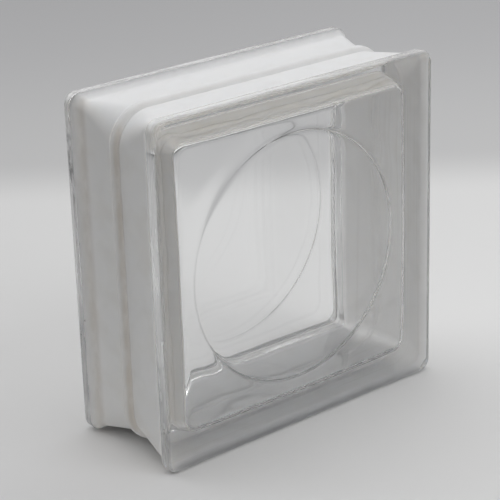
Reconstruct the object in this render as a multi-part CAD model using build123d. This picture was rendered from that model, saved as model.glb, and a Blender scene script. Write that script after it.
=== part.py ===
from build123d import *
from math import acos, atan2, cos, pi, sin, sqrt, tan
import os

# Hollow glass building block: two pressed half shells fused at a mid-depth seam,
# with a pale edge coating in the mortar channel between the two clear rims.
# Millimetres. X is the width, Y the depth from the front face to the rear one,
# Z is up, and the origin is at the middle of the base, where the block stands.

# Overall size
face_size = 197.0
block_depth = 79.0

# Clear rim round each face
rim_width = 6.6
rim_corner_radius = 7.0
rim_front_round = 2.4

# Mortar channel between the rims: its drop is measured in from the rim
shoulder_from_face = 12.0
shoulder_drop = 3.7
shoulder_corner_radius = 5.5
shoulder_round = 5.0
seam_drop = 4.3
seam_corner_radius = 20.0

# Bead where the two halves were fused, and the fine groove along its crest
bead_radius = 3.8
bead_height = 2.6
bead_corner_radius = 22.0
crest_groove = 0.35

# Pane and the hollow behind it
pane_thickness = 8.3
pane_frame_width = 16.7
hollow_corner_axis = 24.8
hollow_floor_round = 3.5
wall_at_seam = 8.1

# Round relief pressed into the inner side of each pane, a little off its middle
relief_radius = 71.4
relief_aside = 2.2
relief_above = 0.4
relief_depth = 1.0
relief_inner_band = 7.0
relief_outer_band = 5.0
relief_crease_share = 0.5

# Past this radius the pane thickens on a cone towards its corners
corner_slope_radius = 84.0
corner_rise = 2.2

# Edge coating
coat_thickness = 0.35
coat_clear_of_rim = 2.4

# Cutting bodies run this far past the faces that they open
overrun = 1.0

# Flats that make up a quarter turn of a rounded edge, and stretches of the channel wall
steps_per_quarter = 2
wall_stretches = 4

half_depth = block_depth / 2


class Station:
    """One rounded square of a half shell: how far it lies from the face, how far in
    from the rim its sides are, and the radius of its corners."""

    def __init__(self, from_face, inset, corner_radius):
        self.from_face = from_face
        self.inset = inset
        self.corner_radius = corner_radius

    def sketch(self):
        side = face_size - 2 * self.inset
        return Pos(0, 0, self.from_face) * RectangleRounded(side, side, self.corner_radius)


def mix(a, b, share):
    return a + (b - a) * share


def between(a, b, share):
    """The station at a share of the straight way from one station to another."""
    return Station(
        mix(a.from_face, b.from_face, share),
        mix(a.inset, b.inset, share),
        mix(a.corner_radius, b.corner_radius, share),
    )


def rounded_turn(before, corner, after, radius):
    """Stations along the arc that rounds the outline where it turns at a corner."""
    heading_in = atan2(corner.inset - before.inset, corner.from_face - before.from_face)
    heading_out = atan2(after.inset - corner.inset, after.from_face - corner.from_face)
    turn = heading_out - heading_in
    setback = radius * tan(abs(turn) / 2)
    side = 1 if turn > 0 else -1
    first_from = corner.from_face - setback * cos(heading_in)
    first_inset = corner.inset - setback * sin(heading_in)
    middle_from = first_from - side * radius * sin(heading_in)
    middle_inset = first_inset + side * radius * cos(heading_in)
    steps = max(1, round(steps_per_quarter * abs(turn) / (pi / 2)))
    stations = []
    for step in range(steps + 1):
        heading = heading_in + turn * step / steps
        stations.append(Station(
            middle_from + side * radius * sin(heading),
            middle_inset - side * radius * cos(heading),
            corner.corner_radius,
        ))
    return stations


def skin(stations):
    """The straight-sided body through a row of stations."""
    return loft([station.sketch() for station in stations], ruled=True)


def bead_stations(cover):
    """Half of the seam bead, from its foot on the wall to the groove on its crest."""
    radius = bead_radius + cover
    foot_turn = acos(1 - bead_height / radius)
    groove_turn = crest_groove / radius
    stations = []
    for step in range(steps_per_quarter + 1):
        turn = mix(foot_turn, groove_turn, step / steps_per_quarter)
        below_crest = radius * (1 - cos(turn))
        stations.append(Station(
            half_depth - radius * sin(turn),
            seam_drop - bead_height - cover + below_crest,
            cover + mix(bead_corner_radius, seam_corner_radius, below_crest / bead_height),
        ))
    crest = stations[-1]
    groove = Station(half_depth, crest.inset + crest_groove, crest.corner_radius - crest_groove)
    return stations + [groove]


def outside_body(cover):
    """The outside of one half, solid within, grown in the channel by what covers it."""
    rim_back = Station(rim_width, -cover, rim_corner_radius + cover)
    shoulder = Station(shoulder_from_face, shoulder_drop - cover, shoulder_corner_radius + cover)
    bead = bead_stations(cover)
    turn_down = rounded_turn(rim_back, shoulder, bead[0], shoulder_round)
    shares = [stretch / wall_stretches for stretch in range(1, wall_stretches)]
    wall = [between(turn_down[-1], bead[0], share) for share in shares]
    channel = [rim_back] + turn_down + wall + bead
    if cover > 0:
        return skin(channel)
    face_middle = Station(0, face_size / 2, rim_corner_radius)
    face_edge = Station(0, 0, rim_corner_radius)
    return skin(rounded_turn(face_middle, face_edge, rim_back, rim_front_round) + channel)


def hollow_body():
    """The drafted hollow behind the pane, its corners turned about one upright axis each."""
    pane_middle = Station(pane_thickness, face_size / 2, 0)
    corner = Station(pane_thickness, pane_frame_width, 0)
    seam = Station(half_depth, seam_drop + wall_at_seam, 0)
    floor_turn = rounded_turn(pane_middle, corner, seam, hollow_floor_round)
    past_seam = between(floor_turn[-1], seam, 1 + overrun / (half_depth - pane_thickness))
    stations = floor_turn + [past_seam]
    for station in stations:
        station.corner_radius = hollow_corner_axis - station.inset
    return skin(stations)


def relief_body():
    """The shallow round dish in the pane: a soft rise to the crease, then a steeper lip."""
    crease = pane_thickness - relief_depth * relief_crease_share
    floor = pane_thickness - relief_depth
    lip = relief_radius + relief_outer_band
    top = pane_thickness + overrun
    outline = Polyline(
        (0, floor),
        (relief_radius - relief_inner_band, floor),
        (relief_radius, crease),
        (lip, pane_thickness),
        (lip, top),
        (0, top),
        close=True,
    )
    return relief_turned(outline)


def relief_turned(outline):
    """The body that an outline makes when it is turned about the middle of the relief."""
    return Pos(-relief_aside, -relief_above) * revolve(make_face(Plane.XZ * outline), Axis.Z)


def corner_slopes():
    """What thickens the pane towards its corners, past the relief."""
    corner_reach = (face_size / 2 - hollow_corner_axis) * sqrt(2) + hollow_corner_axis - pane_frame_width
    far_radius = corner_reach + relief_aside + overrun
    far_rise = corner_rise * (far_radius - corner_slope_radius) / (corner_reach - corner_slope_radius)
    foot = pane_thickness - overrun
    outline = Polyline(
        (corner_slope_radius, foot),
        (corner_slope_radius, pane_thickness),
        (far_radius, pane_thickness + far_rise),
        (far_radius, foot),
        close=True,
    )
    return relief_turned(outline)


def half_shell():
    """One pressed half, with its face at zero and its seam at half the depth."""
    hollow = hollow_body() - corner_slopes()
    return outside_body(0) - hollow - relief_body()


def half_coating():
    """The coat on one half: a thin skin over the channel that stops short of the rim."""
    rim_zone = Box(
        face_size + block_depth, face_size + block_depth, rim_width + coat_clear_of_rim,
        align=(Align.CENTER, Align.CENTER, Align.MIN),
    )
    return outside_body(coat_thickness) - outside_body(0) - rim_zone


def place(body):
    """Turn a half so that its face looks to the front of the block."""
    return Pos(0, -half_depth, face_size / 2) * Rot(X=-90) * body


def show(name, body):
    print(name, "volume", round(body.volume), "valid", body.is_valid, "solids", len(body.solids()))


os.makedirs("parts", exist_ok=True)
front_half = place(half_shell())
rear_half = Rot(Z=180) * front_half
front_coat = place(half_coating())
edge_coating = front_coat + Rot(Z=180) * front_coat

pieces = {"front_half": front_half, "rear_half": rear_half, "edge_coating": edge_coating}
for name, body in pieces.items():
    show(name, body)
    export_step(body, "parts/" + name + ".step")
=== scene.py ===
"""Looks of the hollow glass block: glass, edge coating, studio and camera."""

from math import acos, atan2, cos, pi, radians, sin, tan

import bpy
import numpy as np
from mathutils import Matrix, Vector, noise


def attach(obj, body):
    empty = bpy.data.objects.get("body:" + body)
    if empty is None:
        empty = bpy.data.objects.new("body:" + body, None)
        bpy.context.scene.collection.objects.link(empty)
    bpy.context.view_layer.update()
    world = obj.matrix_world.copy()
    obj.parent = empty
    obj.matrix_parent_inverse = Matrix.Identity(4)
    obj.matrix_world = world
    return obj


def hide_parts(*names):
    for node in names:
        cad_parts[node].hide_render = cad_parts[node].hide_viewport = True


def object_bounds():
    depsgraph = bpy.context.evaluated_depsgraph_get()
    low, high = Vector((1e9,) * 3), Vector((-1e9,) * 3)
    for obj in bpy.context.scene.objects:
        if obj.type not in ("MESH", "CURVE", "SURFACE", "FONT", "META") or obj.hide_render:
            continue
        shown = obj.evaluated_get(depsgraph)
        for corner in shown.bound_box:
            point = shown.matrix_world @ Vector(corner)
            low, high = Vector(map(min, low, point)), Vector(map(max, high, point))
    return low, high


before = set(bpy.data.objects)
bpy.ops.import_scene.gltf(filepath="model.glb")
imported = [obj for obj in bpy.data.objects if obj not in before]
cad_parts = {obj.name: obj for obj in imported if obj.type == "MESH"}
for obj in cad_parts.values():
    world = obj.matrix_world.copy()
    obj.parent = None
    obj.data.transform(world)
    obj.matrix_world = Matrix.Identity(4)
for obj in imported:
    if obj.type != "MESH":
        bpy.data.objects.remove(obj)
cad_low, cad_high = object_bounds()

# Sizes below are in millimetres, and scene units are metres
MM = 0.001

# Overall size, taken from the frame
half_width = cad_high.x / MM
half_depth = cad_high.y / MM

# Section of one half, as in the part: distances from the face and in from the rim
rim_width = 6.6
rim_corner = 7.0
rim_round = 2.4
shoulder_from = 12.0
shoulder_drop = 3.7
shoulder_corner = 5.5
shoulder_round = 5.0
seam_drop = 4.3
seam_corner = 20.0
bead_radius = 3.8
bead_height = 2.6
bead_corner = 22.0
crest_groove = 0.35
pane_thickness = 8.3
pane_frame = 16.7
hollow_corner_axis = 24.8
wall_at_seam = 8.1

# What the solids leave out: the soft back of the rim, the softer edge of the hollow's floor, the
# depth in which the wall takes up the pane's relief, and the flash of glass along the seam
rim_back_round = 2.0
floor_round = 4.2
corner_fade = 20.0
flash_height = 0.7
flash_reach = 1.5
flash_shares = (1.0, 0.85, 0.65, 0.4, 0.2, 0.0)

# Round relief on the inner side of each pane: an S-shaped step, a fine ridge on it,
# and beyond it a slope that steepens towards the corners
relief_radius = 71.4
relief_aside = -2.2
relief_above = 0.4
relief_rise = 1.3
relief_step = 1.4
relief_band = 12.0
ridge_height = 0.1
ridge_half_width = 0.5
slope_start = 9.0
outer_curve = 0.014
outer_slope = 0.08

# Edge coating: where it starts behind the face, how thick it is, and how far its edge wanders
coat_start = 6.7
coat_thickness = 0.35
coat_into_glass = 0.05
coat_wander = 0.3
coat_wander_length = 9.0

# Waves that the press left in the walls of the hollow: broad ones, and fine ones along the depth
wave_height = 0.22
wave_length = 16.0
ripple_height = 0.02
ripple_length = 40.0
ripple_depth = 3.0

# How finely each ring and each stretch of the section is divided
side_cuts = 90
corner_cuts = 16
rim_front_steps = 8
rim_side_steps = 3
rim_back_steps = 3
shoulder_steps = 5
channel_steps = 10
bead_steps = 9
coat_edge_steps = 3
hollow_steps = 24
floor_steps = 14
face_insets = (60.0, 30.0, 12.0, 4.0, 0.4)

# Rings of the relief: outside the ridge, across it, inside it and round the middle
slope_rings = 24
ridge_shares = (0.75, 0.5, 0.25, 0, -0.25, -0.5, -0.75, -1)
step_rings = 20
middle_radii = [40.0, 20.0, 5.0]
ring_crowding = 1.5

# Edges that turn by more than so many degrees stay sharp
glass_sharp = 24
coat_sharp = 40


def station(from_face, inset, corner):
    """One rounded square: its distance from the face, its inset and its corner radius."""
    return np.array((from_face, inset, corner), float)


def turn(before, corner, after, radius, steps):
    """Stations along an arc that rounds the section where it turns at a corner."""
    heading_in = atan2(corner[1] - before[1], corner[0] - before[0])
    heading_out = atan2(after[1] - corner[1], after[0] - corner[0])
    swing = heading_out - heading_in
    setback = radius * tan(abs(swing) / 2)
    side = 1 if swing > 0 else -1
    first = corner[:2] - setback * np.array((cos(heading_in), sin(heading_in)))
    middle = first + side * radius * np.array((-sin(heading_in), cos(heading_in)))
    made = []
    for step in range(steps + 1):
        heading = heading_in + swing * step / steps
        at = middle + side * radius * np.array((sin(heading), -cos(heading)))
        made.append(station(at[0], at[1], corner[2]))
    return made


def straight(a, b, steps):
    """Stations between two others, without the two."""
    return [a + (b - a) * step / steps for step in range(1, steps)]


def bead(cover):
    """Half of the bead from its foot to the groove on its crest."""
    radius = bead_radius + cover
    foot = acos(1 - bead_height / radius)
    crest = crest_groove / radius
    made = []
    for step in range(bead_steps + 1):
        angle = foot + (crest - foot) * step / bead_steps
        below = radius * (1 - cos(angle))
        from_face = half_depth - radius * sin(angle)
        corner = bead_corner + (seam_corner - bead_corner) * below / bead_height
        made.append(station(from_face, seam_drop - bead_height - cover + below, corner + cover))
    made.append(made[-1] + np.array((crest_groove, crest_groove, -crest_groove)))
    return made


def channel(cover):
    """The back of the rim, and the stations down the shoulder, along the wall and over the bead."""
    rim_back = station(rim_width, -cover, rim_corner + cover)
    shoulder = station(shoulder_from, shoulder_drop - cover, shoulder_corner + cover)
    crest = bead(cover)
    down = turn(rim_back, shoulder, crest[0], shoulder_round, shoulder_steps)
    return rim_back, down + straight(down[-1], crest[0], channel_steps) + crest


def outer_section():
    """From the face round the rim and down the channel to the seam."""
    face_middle = station(0, half_width, rim_corner)
    face_edge = station(0, 0, rim_corner)
    rim_back, rest = channel(0)
    front = turn(face_middle, face_edge, rim_back, rim_round, rim_front_steps)
    back = turn(face_edge, rim_back, rest[0], rim_back_round, rim_back_steps)
    face = [front[0] + np.array((0, inset, 0)) for inset in face_insets]
    return face + front + straight(front[-1], back[0], rim_side_steps) + back + rest


def inner_section():
    """From the seam flash along the drafted wall to the floor of the hollow."""
    middle = station(pane_thickness, half_width, 0)
    corner = station(pane_thickness, pane_frame, 0)
    seam = station(half_depth, seam_drop + wall_at_seam, 0)
    floor = turn(middle, corner, seam, floor_round, floor_steps)
    made = []
    for share in flash_shares:
        at = seam.copy()
        at[0] -= flash_reach * (1 - share)
        at[1] += flash_height * share * share * (3 - 2 * share)
        made.append(at)
    made += straight(made[-1], floor[-1], hollow_steps) + floor[::-1]
    for at in made:
        at[2] = hollow_corner_axis - at[1]
    return made


def relief(radius):
    """Thickness of the pane at a distance from the relief's middle, less that in the middle."""
    out = np.asarray(radius, float) - relief_radius
    step = relief_rise / 2 * (1 + out / np.sqrt(out ** 2 + relief_step ** 2))
    ridge = ridge_height * np.clip(1 - (out / ridge_half_width) ** 2, 0, 1)
    beyond = np.maximum(out - slope_start, 0)
    curved = np.minimum(beyond, outer_slope / outer_curve)
    slope = outer_curve * curved ** 2 / 2 + outer_slope * (beyond - curved)
    return step + ridge + slope


def rotated(x, z, heading):
    return x * cos(heading) - z * sin(heading), x * sin(heading) + z * cos(heading)


def ring(at):
    """Points of one rounded square seen from the front, as x and z from its middle."""
    reach = half_width - at[1]
    radius = at[2]
    flat = reach - radius
    points = []
    for quarter in range(4):
        heading = quarter * pi / 2
        for cut in range(side_cuts):
            points.append(rotated(reach, -flat + 2 * flat * cut / side_cuts, heading))
        for cut in range(corner_cuts):
            angle = cut * pi / 2 / corner_cuts
            points.append(rotated(flat + radius * cos(angle), flat + radius * sin(angle), heading))
    return np.array(points)


def wavy(points, depth):
    """A ring of the hollow pushed a little out and in, as pressed glass wanders."""
    moved = []
    for x, z in points:
        broad = noise.noise(Vector((x, depth, z)) / wave_length)
        fine = noise.noise(Vector((x / ripple_length, depth / ripple_depth, z / ripple_length)))
        push = wave_height * broad + ripple_height * fine
        moved.append(1 + push / (x * x + z * z) ** 0.5)
    return points * np.array(moved)[:, None]


def relief_rings(floor_ring, middle, thinnest):
    """Rings of the pane's inner side, from the floor's edge to the middle of the relief."""
    from_middle = floor_ring - middle
    reach = np.linalg.norm(from_middle, axis=1)
    outward = from_middle / reach[:, None]
    outer_edge = relief_radius + ridge_half_width
    inner_edge = relief_radius - ridge_half_width
    inner_band = relief_band - ridge_half_width
    radii = []
    for step in range(1, slope_rings + 1):
        radii.append(outer_edge + (reach - outer_edge) * (1 - step / slope_rings) ** ring_crowding)
    radii += [relief_radius + ridge_half_width * share for share in ridge_shares]
    for step in range(1, step_rings + 1):
        radii.append(inner_edge - inner_band * (step / step_rings) ** ring_crowding)
    made = []
    for radius in radii + middle_radii:
        radius = radius * np.ones(len(reach))
        made.append((middle + outward * radius[:, None], thinnest + relief(radius)))
    return made


def place(points, from_face, half):
    """Points of a ring in the frame, in metres, for the front half (-1) or the rear one (1)."""
    y = half * (half_depth - from_face) * np.ones(len(points))
    return np.stack((points[:, 0], y, points[:, 1] + half_width), 1) * MM


def grid(name, rings, flip, closed=False, fans=(False, False)):
    """A mesh through rings of points, whose ends may be closed by a fan."""
    count = len(rings[0])
    verts = list(np.concatenate(rings))
    faces = []
    pairs = [(i, i + 1) for i in range(len(rings) - 1)]
    if closed:
        pairs.append((len(rings) - 1, 0))
    for i, j in pairs:
        for k in range(count):
            n = (k + 1) % count
            faces.append((i * count + k, j * count + k, j * count + n, i * count + n))
    if fans[0]:
        verts.append(rings[0].mean(axis=0))
        for k in range(count):
            faces.append((len(verts) - 1, k, (k + 1) % count))
    if fans[1]:
        verts.append(rings[-1].mean(axis=0))
        base = (len(rings) - 1) * count
        for k in range(count):
            faces.append((base + k, len(verts) - 1, base + (k + 1) % count))
    if flip:
        faces = [face[::-1] for face in faces]
    mesh = bpy.data.meshes.new(name)
    mesh.from_pydata([tuple(v) for v in verts], [], faces)
    return mesh


def joined(name, meshes):
    """One mesh from several, with no faces between them."""
    verts, faces, base = [], [], 0
    for mesh in meshes:
        verts += [tuple(v.co) for v in mesh.vertices]
        faces += [tuple(base + i for i in face.vertices) for face in mesh.polygons]
        base += len(mesh.vertices)
        bpy.data.meshes.remove(mesh)
    made = bpy.data.meshes.new(name)
    made.from_pydata(verts, [], faces)
    return made


def smoothed(mesh, sharp):
    """A mesh shaded smooth, but for its sharp edges."""
    mesh.polygons.foreach_set("use_smooth", [True] * len(mesh.polygons))
    mesh.set_sharp_from_angle(angle=radians(sharp))
    return mesh


def glass_half(name, half):
    """The glass of one half: its outside down to the seam, and the hollow with the relief."""
    outer = [place(ring(at), at[0], half) for at in outer_section()]
    stations = inner_section()
    middle = np.array((-half * relief_aside, relief_above))
    level = stations[-1][0]
    thinnest = level - float(relief(half_width - stations[-1][1]))
    inner = []
    for at in stations:
        points = wavy(ring(at), half * (half_depth - at[0]))
        rise = relief(np.linalg.norm(points - middle, axis=1)) + thinnest - level
        fade = min(max((at[0] - level - floor_round) / corner_fade, 0), 1)
        inner.append(place(points, at[0] + rise * (1 - fade) ** 2, half))
    inner += [place(points, depth, half) for points, depth in relief_rings(points, middle, thinnest)]
    flip = half > 0
    skin = grid("skin", outer, flip, fans=(True, False))
    hollow = grid("hollow", inner, flip, fans=(False, True))
    return smoothed(joined(name, [skin, hollow]), glass_sharp)


def coat_skin(cover, half):
    """One side of the coat on one half, from its uneven edge behind the rim to the seam."""
    rim_back, rest = channel(cover)
    rim_back[1] = max(rim_back[1], 0)
    rim_back[2] = min(rim_back[2], rim_corner)
    low, high = ring(rim_back), ring(rest[0])
    wander = [noise.noise(Vector((x, half * half_depth, z)) / coat_wander_length) for x, z in low]
    start = (coat_start + coat_wander * np.array(wander) - rim_width) / (rest[0][0] - rim_width)
    start = np.maximum(start, 0)
    rings = []
    for step in range(coat_edge_steps):
        share = start + (1 - start) * step / coat_edge_steps
        depth = rim_width + (rest[0][0] - rim_width) * share
        rings.append(place(low + (high - low) * share[:, None], depth, half))
    return rings + [place(ring(at), at[0], half) for at in rest]


def coat_mesh(name):
    """The coat as a closed band over both halves, its inner side sunk a little into the glass."""
    outside = coat_skin(coat_thickness, -1) + coat_skin(coat_thickness, 1)[::-1]
    inside = coat_skin(-coat_into_glass, 1) + coat_skin(-coat_into_glass, -1)[::-1]
    return smoothed(grid(name, outside + inside, False, closed=True), coat_sharp)


# Node helpers
def feed(tree, socket, value):
    """Link a value to a socket, or set it there."""
    if isinstance(value, bpy.types.NodeSocket):
        tree.links.new(value, socket)
    else:
        socket.default_value = value


def sums(tree, operation, *values):
    node = tree.nodes.new("ShaderNodeMath")
    node.operation = operation
    for socket, value in zip(node.inputs, values):
        feed(tree, socket, value)
    return node.outputs["Value"]


def product(tree, first, *others):
    for other in others:
        first = sums(tree, "MULTIPLY", first, other)
    return first


def vectors(tree, operation, *values):
    node = tree.nodes.new("ShaderNodeVectorMath")
    node.operation = operation
    for socket, value in zip(node.inputs, values):
        feed(tree, socket, value)
    return node.outputs["Value" if operation in ("LENGTH", "DOT_PRODUCT") else "Vector"]


def component(tree, vector, axis):
    node = tree.nodes.new("ShaderNodeSeparateXYZ")
    feed(tree, node.inputs["Vector"], vector)
    return node.outputs[axis]


def ramp(tree, value, start, end, low=0.0, high=1.0):
    """A smooth step of a value, from low at start to high at end."""
    node = tree.nodes.new("ShaderNodeMapRange")
    node.interpolation_type = "SMOOTHSTEP"
    names = ("Value", "From Min", "From Max", "To Min", "To Max")
    for name, given in zip(names, (value, start, end, low, high)):
        feed(tree, node.inputs[name], given)
    return node.outputs["Result"]


def band(tree, value, centre, width):
    """One where a value is at the centre, and none a width away from it."""
    off = sums(tree, "ABSOLUTE", sums(tree, "SUBTRACT", value, centre * MM))
    return ramp(tree, off, width * MM, 0.0)


def here(tree):
    """The place on the object."""
    return tree.nodes.new("ShaderNodeTexCoord").outputs["Object"]


def along(tree, axis):
    """How far the place lies along one axis."""
    return component(tree, here(tree), axis)


def speckle(tree, waves, detail=2.0):
    """Noise with so many waves a metre along each axis."""
    node = tree.nodes.new("ShaderNodeTexNoise")
    node.inputs["Scale"].default_value = 1
    node.inputs["Detail"].default_value = detail
    feed(tree, node.inputs["Vector"], vectors(tree, "MULTIPLY", here(tree), waves))
    return node.outputs["Fac"]


def tinted(tree, colour, tint, share):
    """A colour multiplied by a tint, by a share."""
    node = tree.nodes.new("ShaderNodeMix")
    node.data_type = "RGBA"
    node.blend_type = "MULTIPLY"
    feed(tree, node.inputs["Factor"], share)
    feed(tree, node.inputs["A"], colour)
    feed(tree, node.inputs["B"], (*tint, 1))
    return node.outputs["Result"]


def bumped(tree, height, distance):
    node = tree.nodes.new("ShaderNodeBump")
    node.inputs["Distance"].default_value = distance
    feed(tree, node.inputs["Height"], height)
    return node.outputs["Normal"]


def material(name):
    """A new material with its node tree and its shader."""
    made = bpy.data.materials.new(name)
    made.use_nodes = True
    return made, made.node_tree, made.node_tree.nodes["Principled BSDF"]


# Glass, with ripples that bend what is seen through it
glass_colour = (0.99, 0.992, 0.992)
glass_index = 1.52
ripple_waves = (45, 45, 45)
ripple_bump = 0.00003

# Haze and streaks of the rims' outer sides: how far in from the side the haze fades and is full,
# and how clear the streaks leave the glass there
haze_fade = 1.6
haze_full = 0.4
haze_tint = (0.82, 0.82, 0.822)
streak_waves = (30, 350, 30)
streak_low = 0.3
streak_high = 0.7
clear_least = 0.4
clear_most = 0.75

# Painted shade along the fine ridge of the relief, strongest low on the front half, and on the
# rear half only to one side
ridge_painted_shade = (0.5, 0.5, 0.51)
ridge_shade_width = 0.9
ridge_shade_high = 45.0
ridge_shade_low = -60.0
ridge_shade_least = 0.15
rear_shade_from = -30.0
rear_shade_to = 40.0
rear_shade_most = 0.4


def rim_side(tree):
    """One on the outer sides of the rims, fading out over their rounded edges."""
    flat = (half_width - rim_corner) * MM
    from_middle = vectors(tree, "SUBTRACT", here(tree), (0, 0, half_width * MM))
    past_flat = vectors(tree, "SUBTRACT", vectors(tree, "ABSOLUTE", from_middle), (flat, 1, flat))
    outward = vectors(tree, "LENGTH", vectors(tree, "MAXIMUM", past_flat, (0, 0, 0)))
    return ramp(tree, outward, (rim_corner - haze_fade) * MM, (rim_corner - haze_full) * MM)


def ridge_shade(tree):
    """Where shade is painted: one along the ridge of each pane's relief, none away from it or on the
    faces.
    """
    depth = along(tree, "Y")
    aside = product(tree, sums(tree, "SIGN", depth), -relief_aside * MM)
    x = sums(tree, "SUBTRACT", along(tree, "X"), aside)
    z = sums(tree, "SUBTRACT", along(tree, "Z"), (half_width + relief_above) * MM)
    flat = tree.nodes.new("ShaderNodeCombineXYZ")
    feed(tree, flat.inputs["X"], x)
    feed(tree, flat.inputs["Z"], z)
    from_middle = vectors(tree, "LENGTH", flat.outputs["Vector"])
    near = band(tree, from_middle, relief_radius, ridge_shade_width)
    mid_pane = (half_depth - pane_thickness / 2) * MM
    inside = sums(tree, "LESS_THAN", sums(tree, "ABSOLUTE", depth), mid_pane)
    lower = ramp(tree, z, ridge_shade_high * MM, ridge_shade_low * MM, ridge_shade_least, 1.0)
    front = sums(tree, "LESS_THAN", depth, 0)
    rear = ramp(tree, x, rear_shade_from * MM, rear_shade_to * MM, 0.0, rear_shade_most)
    share = sums(tree, "MAXIMUM", product(tree, front, lower), rear)
    return product(tree, near, inside, share)


def glass_material():
    made, tree, shader = material("clear_glass")
    side = rim_side(tree)
    clear = ramp(tree, speckle(tree, streak_waves), streak_low, streak_high, clear_most, clear_least)
    hazy = product(tree, side, sums(tree, "SUBTRACT", 1, clear))
    colour = tinted(tree, (*glass_colour, 1), haze_tint, side)
    # Painted shade along the ridge of the relief
    colour = tinted(tree, colour, ridge_painted_shade, ridge_shade(tree))
    ripples = speckle(tree, ripple_waves, 0.0)
    feed(tree, shader.inputs["Transmission Weight"], sums(tree, "SUBTRACT", 1, hazy))
    feed(tree, shader.inputs["Normal"], bumped(tree, ripples, ripple_bump))
    feed(tree, shader.inputs["Base Color"], colour)
    shader.inputs["IOR"].default_value = glass_index
    shader.inputs["Roughness"].default_value = 0.0
    return made


# Coat: its colour and the mottling of it, and painted shade that makes the left side warmer and darker,
# fading in over the corner
coat_colour = (0.97, 0.968, 0.962)
mottle_tint = (0.955, 0.95, 0.94)
mottle_waves = (55, 55, 55)
mottle_low = 0.42
mottle_high = 0.7
left_side_shade = (1.0, 0.965, 0.925)
corner_start = 10.0
corner_end = 4.5

# Painted shade beside the bead and behind the rear rim, mottled by noise, and how much of it shows away
# from the left side
shade_mottle_waves = (90, 300, 90)
shade_mottle_low = 0.3
shade_mottle_high = 0.6
shade_mottle_least = 0.65
bead_flank_shade = (0.79, 0.77, 0.745)
flank_place = 2.8
flank_width = 2.4
flank_elsewhere = 0.45
behind_rim_shade = (0.78, 0.77, 0.76)
edge_from_face = 12.0
edge_width = 5.5
edge_elsewhere = 0.2

# Chips along the coat's edge, but for the lowest stretch
chip_tint = (0.30, 0.29, 0.28)
chip_waves = (420, 420, 420)
chip_low = 0.69
chip_high = 0.73
chip_width = 1.2
chip_bottom = 5.0
chip_full = 20.0

# Streaks of the coat's inner side, and on top beige ones, a painted warm cast of the light that comes
# through the coat
top_warm_light_tint = (1.0, 0.955, 0.895)
beige_waves = (12, 240, 12)
beige_low = 0.3
beige_high = 0.6
beige_least = 0.25
line_tint = (0.95, 0.945, 0.94)
line_waves = (7, 300, 7)
line_low = 0.58
line_high = 0.7

# Grain, and how the thin coat lets light through
grain_waves = (1400, 1400, 1400)
grain_bump = 0.00006
grain_low = 0.3
grain_high = 0.7
coat_smooth = 0.5
coat_rough = 0.7
through_radius = (1.0, 0.97, 0.92)
through_scale = 0.0015


def coat_material():
    made, tree, shader = material("edge_coat")
    depth = sums(tree, "ABSOLUTE", along(tree, "Y"))
    left = ramp(tree, along(tree, "X"), (corner_start - half_width) * MM, (corner_end - half_width) * MM)
    height = 2 * half_width
    top = ramp(tree, along(tree, "Z"), (height - corner_start) * MM, (height - corner_end) * MM)
    outward = vectors(tree, "SUBTRACT", here(tree), (0, 0, half_width * MM))
    outward = vectors(tree, "MULTIPLY", outward, (1, 0, 1))
    normal = tree.nodes.new("ShaderNodeNewGeometry").outputs["Normal"]
    under = sums(tree, "LESS_THAN", vectors(tree, "DOT_PRODUCT", normal, outward), 0)
    outside = sums(tree, "SUBTRACT", 1, under)

    mottle = ramp(tree, speckle(tree, mottle_waves), mottle_low, mottle_high)
    colour = tinted(tree, (*coat_colour, 1), mottle_tint, mottle)
    # Painted shade: the left side warmer and darker
    colour = tinted(tree, colour, left_side_shade, left)

    # Painted shade, mottled by noise, beside the bead and behind the rear rim
    shade_mottle = ramp(tree, speckle(tree, shade_mottle_waves), shade_mottle_low, shade_mottle_high, shade_mottle_least, 1.0)
    beside_bead = band(tree, depth, flank_place, flank_width)
    on_flank = sums(tree, "MAXIMUM", left, flank_elsewhere)
    colour = tinted(tree, colour, bead_flank_shade, product(tree, beside_bead, shade_mottle, on_flank, outside))
    behind_rim = band(tree, along(tree, "Y"), half_depth - edge_from_face, edge_width)
    on_edge = sums(tree, "MAXIMUM", left, edge_elsewhere)
    colour = tinted(tree, colour, behind_rim_shade, product(tree, behind_rim, shade_mottle, on_edge, outside))

    chips = ramp(tree, speckle(tree, chip_waves), chip_low, chip_high)
    at_edge = band(tree, depth, half_depth - coat_start, chip_width)
    above_floor = ramp(tree, along(tree, "Z"), chip_bottom * MM, chip_full * MM)
    colour = tinted(tree, colour, chip_tint, product(tree, chips, at_edge, above_floor))

    # Painted warm light through the coat, in streaks under the top
    beige = ramp(tree, speckle(tree, beige_waves), beige_low, beige_high, beige_least, 1.0)
    colour = tinted(tree, colour, top_warm_light_tint, product(tree, beige, under, top))
    lines = ramp(tree, speckle(tree, line_waves, 1.0), line_low, line_high)
    colour = tinted(tree, colour, line_tint, product(tree, lines, under))

    grain = speckle(tree, grain_waves)
    roughness = ramp(tree, grain, grain_low, grain_high, coat_smooth, coat_rough)
    feed(tree, shader.inputs["Base Color"], colour)
    feed(tree, shader.inputs["Normal"], bumped(tree, grain, grain_bump))
    feed(tree, shader.inputs["Roughness"], roughness)
    shader.inputs["Subsurface Weight"].default_value = 1.0
    shader.inputs["Subsurface Radius"].default_value = through_radius
    shader.inputs["Subsurface Scale"].default_value = through_scale
    return made


def add(name, mesh, look):
    piece = bpy.data.objects.new(name, mesh)
    bpy.context.scene.collection.objects.link(piece)
    mesh.materials.append(look)
    return piece


glass = glass_material()
for name, half in (("front_half", -1), ("rear_half", 1)):
    piece = add(name + "_glass", glass_half(name + "_glass", half), glass)
    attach(piece, "root")
    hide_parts(name)

piece = add("edge_coat_skin", coat_mesh("edge_coat_skin"), coat_material())
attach(piece, "root")
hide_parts("edge_coating")


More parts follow.
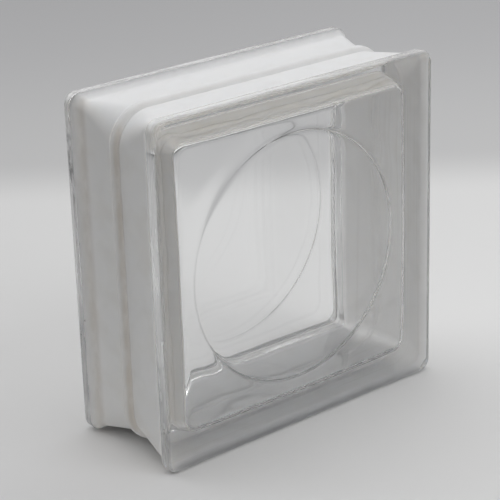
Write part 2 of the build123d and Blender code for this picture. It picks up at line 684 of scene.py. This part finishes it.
# Camera at the photograph's viewing angle: angles in degrees, distances in millimetres
camera_azimuth = -39.530
camera_elevation = 21.412
camera_roll = -1.733
camera_distance = 1018.0
camera_target = Vector((-4.27, 1.97, 92.63))
camera_focal_px = 1809.7
camera_sensor = 36
picture_px = 500

# Paper of the floor: its colour, its half width in metres, and the gap under the block
floor_colour = (0.822, 0.822, 0.822)
floor_side = 4.0
floor_gap = 0.0003

# Painted light and shade of the paper, each with the metres from the middle at which it starts and is
# full: darker past the edge of a pale pool of painted light, painted shade further off, on the left and
# near the camera, and painted shadow between the last two
past_pool_shade = ((0.77, 0.77, 0.775), 0.34, 0.45)
far_off_shade = ((0.92, 0.92, 0.93), 0.42, 0.85)
left_floor_shade = ((0.92, 0.92, 0.92), 0.25, -0.25)
near_floor_shade = ((0.96, 0.96, 0.96), 0.15, -0.25)
near_left_shadow = ((0.89, 0.89, 0.895), -0.1, -0.25)

# Soft windows of light: their side in metres, and where each one stands and its watts
window_side = 1.0
window_aim = Vector((0, 0, 0.1))
windows = {
    "overhead": (Vector((0.1, 0.1, 1.5)), 4.95),
    "front_window": (Vector((0.3, -1.2, 1.3)), 6.1),
    "rear_window": (Vector((-0.5, 1.0, 1.2)), 2.7),
}

# Level of the room that camera, mirrored and refracted rays see, the share of it near the
# horizon and how high up that reaches, and the room's soft lights by direction and strength
surround_level = 0.66
horizon_share = 0.12
horizon_top = 0.35
sky_lights = (((0, 0, 1), 0.5), ((0, 0.87, 0.5), 0.36), ((0.87, 0, 0.5), 0.13))
sky_light_edge = 0.2

# Paths of light through the many glass surfaces
glass_bounces = 24
diffuse_bounces = 12


def backdrop_material():
    made, tree, shader = material("backdrop")
    x, y = along(tree, "X"), along(tree, "Y")
    away = sums(tree, "MAXIMUM", sums(tree, "ABSOLUTE", x), sums(tree, "ABSOLUTE", y))
    # Painted light and shade of the floor: darker away from the block, on the left and near the camera
    tints = (
        (away, past_pool_shade),
        (away, far_off_shade),
        (x, left_floor_shade),
        (y, near_floor_shade),
        (sums(tree, "ADD", x, y), near_left_shadow),
    )
    colour = (*floor_colour, 1)
    for value, (tint, start, end) in tints:
        colour = tinted(tree, colour, tint, ramp(tree, value, start, end))
    feed(tree, shader.inputs["Base Color"], colour)
    shader.inputs["Roughness"].default_value = 0.9
    shader.inputs["Specular IOR Level"].default_value = 0.1
    return made


def backdrop():
    """A flat floor turned to the camera, so that its tints lie as in the photograph."""
    signs = ((-1, -1), (1, -1), (1, 1), (-1, 1))
    corners = [(x * floor_side, y * floor_side, -floor_gap) for x, y in signs]
    mesh = bpy.data.meshes.new("backdrop")
    mesh.from_pydata(corners, [], [(0, 1, 2, 3)])
    made = add("backdrop", mesh, backdrop_material())
    made.rotation_euler = (0, 0, radians(camera_azimuth))


def window(name, at, watts):
    """A square lamp that looks at the block."""
    data = bpy.data.lights.new(name, "AREA")
    data.shape = "RECTANGLE"
    data.size = window_side
    data.size_y = window_side
    data.energy = watts
    made = bpy.data.objects.new(name, data)
    made.location = at
    made.rotation_euler = (window_aim - at).to_track_quat("-Z", "Y").to_euler()
    bpy.context.scene.collection.objects.link(made)


def surround():
    """A soft room, brighter overhead and behind, which glass sees as a pale grey all round."""
    world = bpy.data.worlds.new("surround")
    world.use_nodes = True
    tree = world.node_tree
    path = tree.nodes.new("ShaderNodeLightPath").outputs
    heading = tree.nodes.new("ShaderNodeTexCoord").outputs["Generated"]
    seen = sums(tree, "MAXIMUM", path["Is Glossy Ray"], path["Is Transmission Ray"])
    seen = sums(tree, "MAXIMUM", seen, path["Is Camera Ray"])
    strength = product(tree, seen, surround_level)
    for direction, most in sky_lights:
        facing = vectors(tree, "DOT_PRODUCT", heading, direction)
        strength = sums(tree, "ADD", strength, ramp(tree, facing, sky_light_edge, 1.0, 0.0, most))
    height = ramp(tree, component(tree, heading, "Z"), 0.0, horizon_top, horizon_share, 1.0)
    height = sums(tree, "MAXIMUM", height, path["Is Camera Ray"])
    background = tree.nodes["Background"]
    feed(tree, background.inputs["Strength"], product(tree, strength, height))
    background.inputs["Color"].default_value = (1, 1, 1, 1)
    bpy.context.scene.world = world


def photo_camera():
    azimuth, elevation, roll = (radians(v) for v in (camera_azimuth, camera_elevation, camera_roll))
    back = Vector((sin(azimuth) * cos(elevation), -cos(azimuth) * cos(elevation), sin(elevation)))
    level = Vector((cos(azimuth), sin(azimuth), 0))
    upward = back.cross(level)
    right = level * cos(roll) + upward * sin(roll)
    up = upward * cos(roll) - level * sin(roll)
    data = bpy.data.cameras.new("photo_camera")
    data.sensor_width = camera_sensor
    data.lens = camera_focal_px * data.sensor_width / picture_px
    made = bpy.data.objects.new("photo_camera", data)
    turned = Matrix((right, up, back)).transposed().to_4x4()
    made.matrix_world = Matrix.Translation((camera_target + back * camera_distance) * MM) @ turned
    bpy.context.scene.collection.objects.link(made)
    bpy.context.scene.camera = made


backdrop()
for name, (at, watts) in windows.items():
    window(name, at, watts)
surround()
photo_camera()

scene = bpy.context.scene
scene.view_settings.view_transform = "Standard"
scene.cycles.max_bounces = glass_bounces
scene.cycles.glossy_bounces = glass_bounces
scene.cycles.transmission_bounces = glass_bounces
scene.cycles.diffuse_bounces = diffuse_bounces
